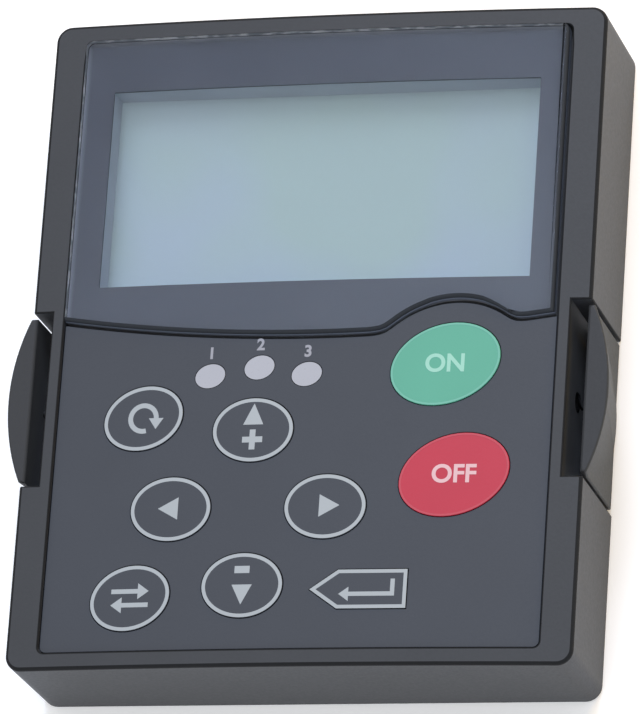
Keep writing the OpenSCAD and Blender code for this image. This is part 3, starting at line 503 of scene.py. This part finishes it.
# Prints on the overlay: a plain numeral over each lamp, in pale ink about 0.03 mm thick, screen
# printed on the film and following its crowned face. The sizes and places of prints are in mm.
BODY_WIDTH = shell_high.x - shell_low.x
CROWN = 1.2 * MM
OVERLAY_DROP = 0.5 * MM
INK = 0.03 * MM
INK_BITE = 0.01 * MM
INK_MERGE = MERGE / 4
INK_GREY = "#8c8d95"
NUMERAL_HEIGHT = 1.8
NUMERAL_WEIGHT = 0.08
NUMERAL_RISE = 3.5
LAMPS = ((-14.4, -6), (-6.85, -4.85), (0.5, -6.05))
CAPITAL_SHARE = 0.73
crown_radius = (BODY_WIDTH ** 2 / 4 + CROWN ** 2) / (2 * CROWN)


def screen_ink(name, colour):
    """A screen ink: opaque, satin, and almost without grain."""
    return moulded(name, colour, rough=0.5, grain=0.3, depth=0.004, mottle=0.04)


def crown_height(x):
    """Height of the crowned face over x."""
    return shell_high.z - crown_radius + math.sqrt(crown_radius ** 2 - x ** 2)


def add_text(bm, text, height, at, weight):
    """Flat letters of a capital height, thickened by weight, with their middle at a place, in mm."""
    words = bpy.data.curves.new("lettering", "FONT")
    words.body = text
    words.size = height / CAPITAL_SHARE * MM
    words.offset = weight * MM
    words.align_x = "CENTER"
    words.align_y = "CENTER"
    writing = bpy.data.objects.new("lettering", words)
    letters = bpy.data.meshes.new_from_object(writing)
    letters.transform(Matrix.Translation((at[0] * MM, at[1] * MM, 0)))
    bm.from_mesh(letters)
    bpy.data.objects.remove(writing)


def print_on(name, body, bm, drop, ink):
    """Gives flat shapes the thickness of ink and lays them on the crowned face, drop below it."""
    bmesh.ops.remove_doubles(bm, verts=bm.verts, dist=INK_MERGE)
    raised = bmesh.ops.extrude_face_region(bm, geom=bm.faces[:])["geom"]
    upper = [item for item in raised if isinstance(item, bmesh.types.BMVert)]
    bmesh.ops.translate(bm, vec=(0, 0, INK), verts=upper)
    bmesh.ops.recalc_face_normals(bm, faces=bm.faces)
    for face in bm.faces:
        face.smooth = False
    for vert in bm.verts:
        vert.co.z += crown_height(vert.co.x) - drop - INK_BITE
    mesh = bpy.data.meshes.new(name)
    bm.to_mesh(mesh)
    bm.free()
    piece = add_object(name, mesh, ink)
    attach(piece, body)


numerals = bmesh.new()
for number, (x, y) in enumerate(LAMPS, 1):
    add_text(numerals, str(number), NUMERAL_HEIGHT, (x, y + NUMERAL_RISE), NUMERAL_WEIGHT)
print_on("lamp_numerals", "housing", numerals, OVERLAY_DROP, screen_ink("grey_screen_ink", INK_GREY))

# Keys: moulded caps that stand a hair above the overlay, each with a flange that keeps it in. The six
# small ovals and the pointed key are the overlay's colour with white outlines and plain symbols; the
# two large ovals are green and red, with a pale rim and plain words.
KEY_DROP = 0.38 * MM
KEY_ROUND = 0.06 * MM
OVAL = (6.2, 4.95)
SLANT = math.radians(15)
RING_LINE = 0.54
RING_SIDES = 72
CLEAR = KEY_ROUND / MM
INK_WHITE = "#989ea2"
BIG_OVAL = (8.4, 6.15)
BIG_SLANT = math.radians(18)
LETTER_HEIGHT = 2.8
LETTER_WEIGHT = 0.1
RIM_LINE = 0.3
HEAD_SHARE = 0.72
ENTER = (7.4, -39.35)
POINTED = ((-4.2, 0), (0, -2.95), (10.4, -2.95), (10.4, 2.95), (0, 2.95))


def key_edge(middle, upper, lower):
    """A key's face, broken a little round its edge."""
    return KEY_ROUND if upper.z > SQUARE_ON and middle.z > overlay_low.z else 0


def add_shape(bm, points, at):
    """A flat face with the given corners, in mm from a place."""
    return bm.faces.new([bm.verts.new(((at[0] + x) * MM, (at[1] + y) * MM, 0)) for x, y in points])


def add_ring(bm, at, oval, slant, line):
    """An oval line just inside a key's edge, drawn first in an empty mesh."""
    for inset in (CLEAR, CLEAR + line):
        verts = bmesh.ops.create_circle(bm, segments=RING_SIDES, radius=MM)["verts"]
        size = Matrix.Diagonal((oval[0] - inset, oval[1] - inset, 1, 1))
        place = Matrix.Translation((at[0] * MM, at[1] * MM, 0))
        bmesh.ops.transform(bm, matrix=place @ Matrix.Rotation(slant, 4, "Z") @ size, verts=verts)
    bmesh.ops.bridge_loops(bm, edges=bm.edges[:])


def add_arrow(bm, tip, tail, head, stroke, at, rise=0):
    """A level arrow from tail to tip, in mm from a place, whose tail may first turn up by a rise."""
    x, y = tip
    way = 1 if x > tail else -1
    neck = x - way * head
    low, high = y - stroke / 2, y + stroke / 2
    bend = [(tail, high + rise), (tail + way * stroke, high + rise), (tail + way * stroke, high)]
    add_shape(bm, ((x, y), (neck, y + head * HEAD_SHARE), (neck, y - head * HEAD_SHARE)), at)
    add_shape(bm, [(neck, low), (tail, low), *(bend if rise else [(tail, high)]), (neck, high)], at)


def circling_arrow(bm, at):
    """An open circle that ends in an arrowhead."""
    radius, stroke, sweep = 2.0, 0.75, math.radians(285)
    half_head, head = 1.15, 1.7
    walls = (radius - stroke / 2, radius + stroke / 2)
    start = [bm.verts.new(((at[0] + wall) * MM, at[1] * MM, 0)) for wall in walls]
    edge = bm.edges.new(start)
    bmesh.ops.spin(bm, geom=[*start, edge], cent=(at[0] * MM, at[1] * MM, 0), axis=(0, 0, 1),
                   angle=sweep, steps=RING_SIDES // 2)
    add_shape(bm, ((radius - half_head, 0), (radius + half_head, 0), (radius, -head)), at)


def swap_arrows(bm, at):
    """Two level arrows, one each way."""
    for way in (1, -1):
        add_arrow(bm, tip=(way * 2.9, way * 1.05), tail=way * -2.9, head=1.7, stroke=0.7, at=at)


def up_and_plus(bm, at):
    """A triangle that points up, over a plus sign."""
    add_shape(bm, ((-1.55, 0.82), (1.55, 0.82), (0, 4.1)), at)
    arm, half, y = 1.55, 0.45, -1.5
    low, high = y - half, y + half
    add_shape(bm, ((-arm, low), (-half, low), (-half, y - arm), (half, y - arm), (half, low), (arm, low),
                   (arm, high), (half, high), (half, y + arm), (-half, y + arm), (-half, high),
                   (-arm, high)), at)


def down_and_minus(bm, at):
    """A minus sign over a triangle that points down."""
    add_shape(bm, ((-1.25, 1.85), (1.05, 1.85), (1.05, 2.95), (-1.25, 2.95)), at)
    add_shape(bm, ((-1.55, 0.1), (0, -2.95), (1.55, 0.1)), at)


def left_triangle(bm, at):
    """A triangle that points left."""
    add_shape(bm, ((-1.95, 0.1), (1.15, -1.65), (1.15, 1.8)), at)


def right_triangle(bm, at):
    """A triangle that points right."""
    add_shape(bm, ((2.2, 0.15), (-0.9, 1.85), (-0.9, -1.6)), at)


SMALL_KEYS = (
    # node, slant, symbol
    ("key_reset", SLANT, circling_arrow),
    ("key_local_remote", SLANT, swap_arrows),
    ("key_up", 0, up_and_plus),
    ("key_down", 0, down_and_minus),
    ("key_left", 0, left_triangle),
    ("key_right", 0, right_triangle),
)
BIG_KEYS = (
    # node, slot, cap colour, rim ink, letter ink, lettering
    ("key_start", "key_green", "#4e9781", "#62a391", "#8abcac", "ON"),
    ("key_stop", "key_red", "#a82238", "#ac3a49", "#c9a5a9", "OFF"),
)
white_ink = screen_ink("white_screen_ink", INK_WHITE)
# Polycarbonate caps: the grey ones are as dull as the film, and the large ones a little glossier.
grey_cap = moulded("pc_key_dark_blue_grey", OVERLAY_BLUE, rough=0.54, grain=0.35, depth=0.008, mottle=0.08)


def add_key(node, slot, material):
    """A key's cap with its face's edge broken, riding on the key's own body."""
    cap = copy_mesh(node)
    weigh_edges(cap, key_edge)
    stand_in(node, node, slot, cap, material, segments=2)


def key_middle(node):
    """The middle of a key, in mm."""
    low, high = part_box(node)
    return (low + high).xy / 2 / MM


for node, slant, symbol in SMALL_KEYS:
    add_key(node, "key_grey", grey_cap)
    at = key_middle(node)
    legend = bmesh.new()
    add_ring(legend, at, OVAL, slant, RING_LINE)
    symbol(legend, at)
    print_on(node + "_print", node, legend, KEY_DROP, white_ink)
for node, slot, cap_colour, rim_colour, ink_colour, words in BIG_KEYS:
    at = key_middle(node)
    add_key(node, slot, moulded("pc_" + slot, cap_colour, rough=0.42, grain=0.35, depth=0.006, mottle=0.06))
    rim = bmesh.new()
    add_ring(rim, at, BIG_OVAL, BIG_SLANT, RIM_LINE)
    print_on(node + "_rim", node, rim, KEY_DROP, screen_ink("rim_ink_" + slot, rim_colour))
    legend = bmesh.new()
    add_text(legend, words, LETTER_HEIGHT, at, LETTER_WEIGHT)
    print_on(node + "_print", node, legend, KEY_DROP, screen_ink("letter_ink_" + slot, ink_colour))

add_key("key_enter", "key_grey", grey_cap)
legend = bmesh.new()
face = add_shape(legend, POINTED, ENTER)
margin = bmesh.ops.inset_region(legend, faces=[face], thickness=CLEAR * MM, use_boundary=True,
                                use_even_offset=True)["faces"]
bmesh.ops.delete(legend, geom=margin, context="FACES")
bmesh.ops.inset_region(legend, faces=[face], thickness=RING_LINE * MM, use_boundary=True,
                       use_even_offset=True)
bmesh.ops.delete(legend, geom=[face], context="FACES_ONLY")
add_arrow(legend, tip=(0.2, -0.75), tail=8.6, head=1.5, stroke=0.65, at=ENTER, rise=1.925)
print_on("key_enter_print", "key_enter", legend, KEY_DROP, white_ink)

# Lamps and light guide: one milky acrylic moulding whose three heads lie flush with the overlay, and
# the surface-mounted lamps that light them from the board.
LAMP_WHITE = "#9d9fa7"
dress(moulded("acrylic_milky", LAMP_WHITE, rough=0.3, depth=0.002, mottle=0.04), "light_guide",
      "status_lamps", "backlight_lamps")

# Key mat: one silicone sheet, compression moulded and matt, with a dome under each key. A pressed key
# buckles its dome, until the carbon pill in it bridges a carbon-printed pad on the board.
SILICONE_GREY = "#8c9096"
CARBON_BLACK = "#161617"
WEB_TOP = 9.61 * MM
key_middles = {node: key_middle(node) for node in frame["bodies"] if node.startswith("key_")}


def nearest_key(face):
    """The key that a face of the mat lies under."""
    at = face.calc_center_median().xy / MM
    return min(key_middles, key=lambda node: (key_middles[node] - at).length)


def take_off(bm, node, height):
    """Moves what lies under a key and above a height to a mesh of its own, and closes both cuts."""
    taken = bm.copy()
    for part, moves in ((bm, False), (taken, True)):
        others = [face for face in part.faces if moves != (
            face.calc_center_median().z > height and nearest_key(face) == node)]
        bmesh.ops.delete(part, geom=others, context="FACES")
        cut = [edge for edge in part.edges if edge.is_boundary]
        if cut:
            bmesh.ops.bridge_loops(part, edges=cut)
        bmesh.ops.recalc_face_normals(part, faces=part.faces)
    return taken


silicone = moulded("silicone_rubber", SILICONE_GREY, rough=0.7, depth=0.01)
carbon = moulded("carbon_rubber", CARBON_BLACK, rough=0.65, depth=0.008)
dress(carbon, "contact_pads")
mat, pills = copy_mesh("key_mat"), copy_mesh("contact_pills")
for node, at in key_middles.items():
    dome = take_off(mat, node, WEB_TOP)
    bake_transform(make_piece(node + "_dome", "key_mat", "silicone", dome, silicone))
    pill = take_off(pills, node, 0)
    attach(make_piece(node + "_pill", "contact_pills", "carbon", pill, carbon), node)
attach(make_piece("key_mat_sheet", "key_mat", "silicone", mat, silicone), "housing")
pills.free()

# Display: a liquid crystal cell seen deep behind the lens, blank and pale blue-grey under its
# polariser, in a black frame with a foam gasket, on a milky backlight and two rubber contact strips.
SCREEN_BLUE = "#acb9c4"
SCREEN_GREEN = "#abbfb4"
DRIFT_WIDTH = 25 * MM
DRIFT_RANGE = (0.35, 0.65)
PAINTED_GLOW = 0.32
BACKLIGHT_WHITE = "#ddddd8"
BLACK_PLASTIC = "#1c1d1f"
FOAM_PAINTED_LIGHT_GREY = "#8a96a3"
STRIP_PINK = "#c98c8c"


def polariser_film():
    """A blank reflective display: satin film whose blue-grey drifts to green in clouds 25 mm wide, with a
    faint glow that is painted light.
    """
    material, tree, shader, place = new_material("polariser_film", Roughness=0.35)
    cloud = add_node(tree, "ShaderNodeTexNoise", {"Vector": place, "Scale": 1 / DRIFT_WIDTH, "Detail": 1})
    drift = add_node(tree, "ShaderNodeMapRange", {
        "Value": cloud.outputs["Fac"], "From Min": DRIFT_RANGE[0], "From Max": DRIFT_RANGE[1]})
    tint = add_node(tree, "ShaderNodeMix", {"Factor": drift.outputs["Result"], MIX_FROM: linear(SCREEN_BLUE),
                                            MIX_TO: linear(SCREEN_GREEN)}, data_type="RGBA")
    tree.links.new(tint.outputs[MIXED], shader.inputs["Base Color"])
    # Painted light: the blank display glows faintly.
    shader.inputs["Emission Color"].default_value = linear(SCREEN_BLUE)
    shader.inputs["Emission Strength"].default_value = PAINTED_GLOW
    return material


dress(polariser_film(), "lcd_polariser", "lcd_glass")
dress(moulded("abs_black", BLACK_PLASTIC, rough=0.45, depth=0.008), "lcd_frame", "connector_insulator")
dress(moulded("acrylic_backlight", BACKLIGHT_WHITE, rough=0.4, depth=0.004), "backlight_plate")
# The gasket's pale blue-grey is painted light, so that its edge by the screen reads pale rather than dark.
dress(moulded("closed_cell_foam", FOAM_PAINTED_LIGHT_GREY, rough=0.85, grain=0.4, depth=0.08), "display_gasket")
dress(moulded("elastomer_strip", STRIP_PINK, rough=0.6), "lcd_contact_strips")

# Circuit board and its parts: glass epoxy under green solder mask, carrying moulded chips with tinned
# leads, resin-cased capacitors, a crystal can and six screws. The rear connector and the latches' pins
# share its plated metals.
MASK_GREEN = "#2f6b45"
EPOXY_BLACK = "#232427"
RESIN_YELLOW = "#c9973a"
STEEL = "#b9bcc0"
GOLD = "#d9b25c"
ROLLED_GRAIN = 0.3 * MM
ROLLED_SPREAD = 0.1


def plated_steel(name, colour, rough):
    """Zinc-plated or tinned metal: bright but soft, with a fine rolled grain 0.3 mm wide."""
    material, tree, shader, place = new_material(name, Metallic=1.0)
    shader.inputs["Base Color"].default_value = linear(colour)
    grain = add_node(tree, "ShaderNodeTexNoise", {"Vector": place, "Scale": 1 / ROLLED_GRAIN, "Detail": 3})
    gloss = add_node(tree, "ShaderNodeMapRange", {
        "Value": grain.outputs["Fac"], "To Min": rough - ROLLED_SPREAD, "To Max": rough + ROLLED_SPREAD})
    tree.links.new(gloss.outputs["Result"], shader.inputs["Roughness"])
    return material


dress(moulded("solder_mask_green", MASK_GREEN, rough=0.35, grain=0.8, depth=0.006), "circuit_board")
dress(moulded("epoxy_package", EPOXY_BLACK, rough=0.55), "controller_chip", "memory_chip",
      "line_driver_chip", "voltage_regulator", "chip_resistors")
dress(moulded("resin_case", RESIN_YELLOW, rough=0.45), "storage_capacitors")
dress(plated_steel("zinc_plated_steel", STEEL, rough=0.35), "crystal_can", "board_screws", "cover_screws",
      "connector_shell", "connector_rivets", "latch_pin_left", "latch_pin_right")
dress(plated_steel("gold_flash", GOLD, rough=0.3), "connector_contacts")

# Rear cover: a flat ABS plate let into the housing's back, with sunk screws, a window for the
# connector and a bare label recess. Moulded in the housing's own grey.
COVER_ROUND = 0.2 * MM
cover = copy_mesh("rear_cover")
weigh_edges(cover, lambda middle, upper, lower: COVER_ROUND if lower.z < -SQUARE_ON else 0)
stand_in("rear_cover", "housing", "housing_abs", cover, housing_abs)

# Latches: a spring-loaded ABS lever in a bay of each side wall, turning on a steel pin near the rear.
# The thumb squeezes its bulge and the hook behind lets go of the panel.
LEVER_FACE_ROUND = 0.4 * MM
LEVER_SIDE_ROUND = 0.25 * MM
LEVER_GREY = "#1f2023"
THUMBED_LIT_GREY = "#232423"
WIRE_BLACK = "#2e2e30"
INNER, THUMBED_LIT = 1, 2  # the lever's finishes after its grain, which is 0
BULGE_SHARE = 0.5


def lever_edge(middle, upper, lower):
    """Wide rounding round the lever's front, finer down its thumb bulge."""
    if upper.z > SQUARE_ON and middle.z > lever_high.z - RIM_REACH:
        return LEVER_FACE_ROUND
    if abs(middle.x) > shell_high.x - LEVER_SIDE_ROUND:
        return LEVER_SIDE_ROUND
    return 0


# The levers are darker than the housing, and thumbs have worn the grain of their bulges shallower.
# The bulges' own grey, a little paler than the levers', is painted light.
lever_abs = moulded("abs_lever", LEVER_GREY, rough=0.55)
thumbed_lit_abs = moulded("abs_thumbed_painted_light", THUMBED_LIT_GREY, rough=0.6, depth=0.006)
wire = plated_steel("black_oxide_wire", WIRE_BLACK, rough=0.45)
for side, way in (("left", -1), ("right", 1)):
    lever = copy_mesh("latch_" + side)
    for face in lever.faces:
        outward = face.normal.x * way
        if outward < -SQUARE_ON and abs(face.calc_center_median().x) > lever_low.x:
            face.material_index = INNER
        elif outward > BULGE_SHARE:
            face.material_index = THUMBED_LIT
    weigh_edges(lever, lever_edge)
    stand_in("latch_" + side, "latch_" + side, "housing_abs", lever, lever_abs, bay_abs, thumbed_lit_abs)
    node = "latch_spring_" + side
    spring = make_piece(node + "_wire", node, "steel", copy_mesh(node), wire)
    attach(spring, "housing")
    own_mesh(spring)
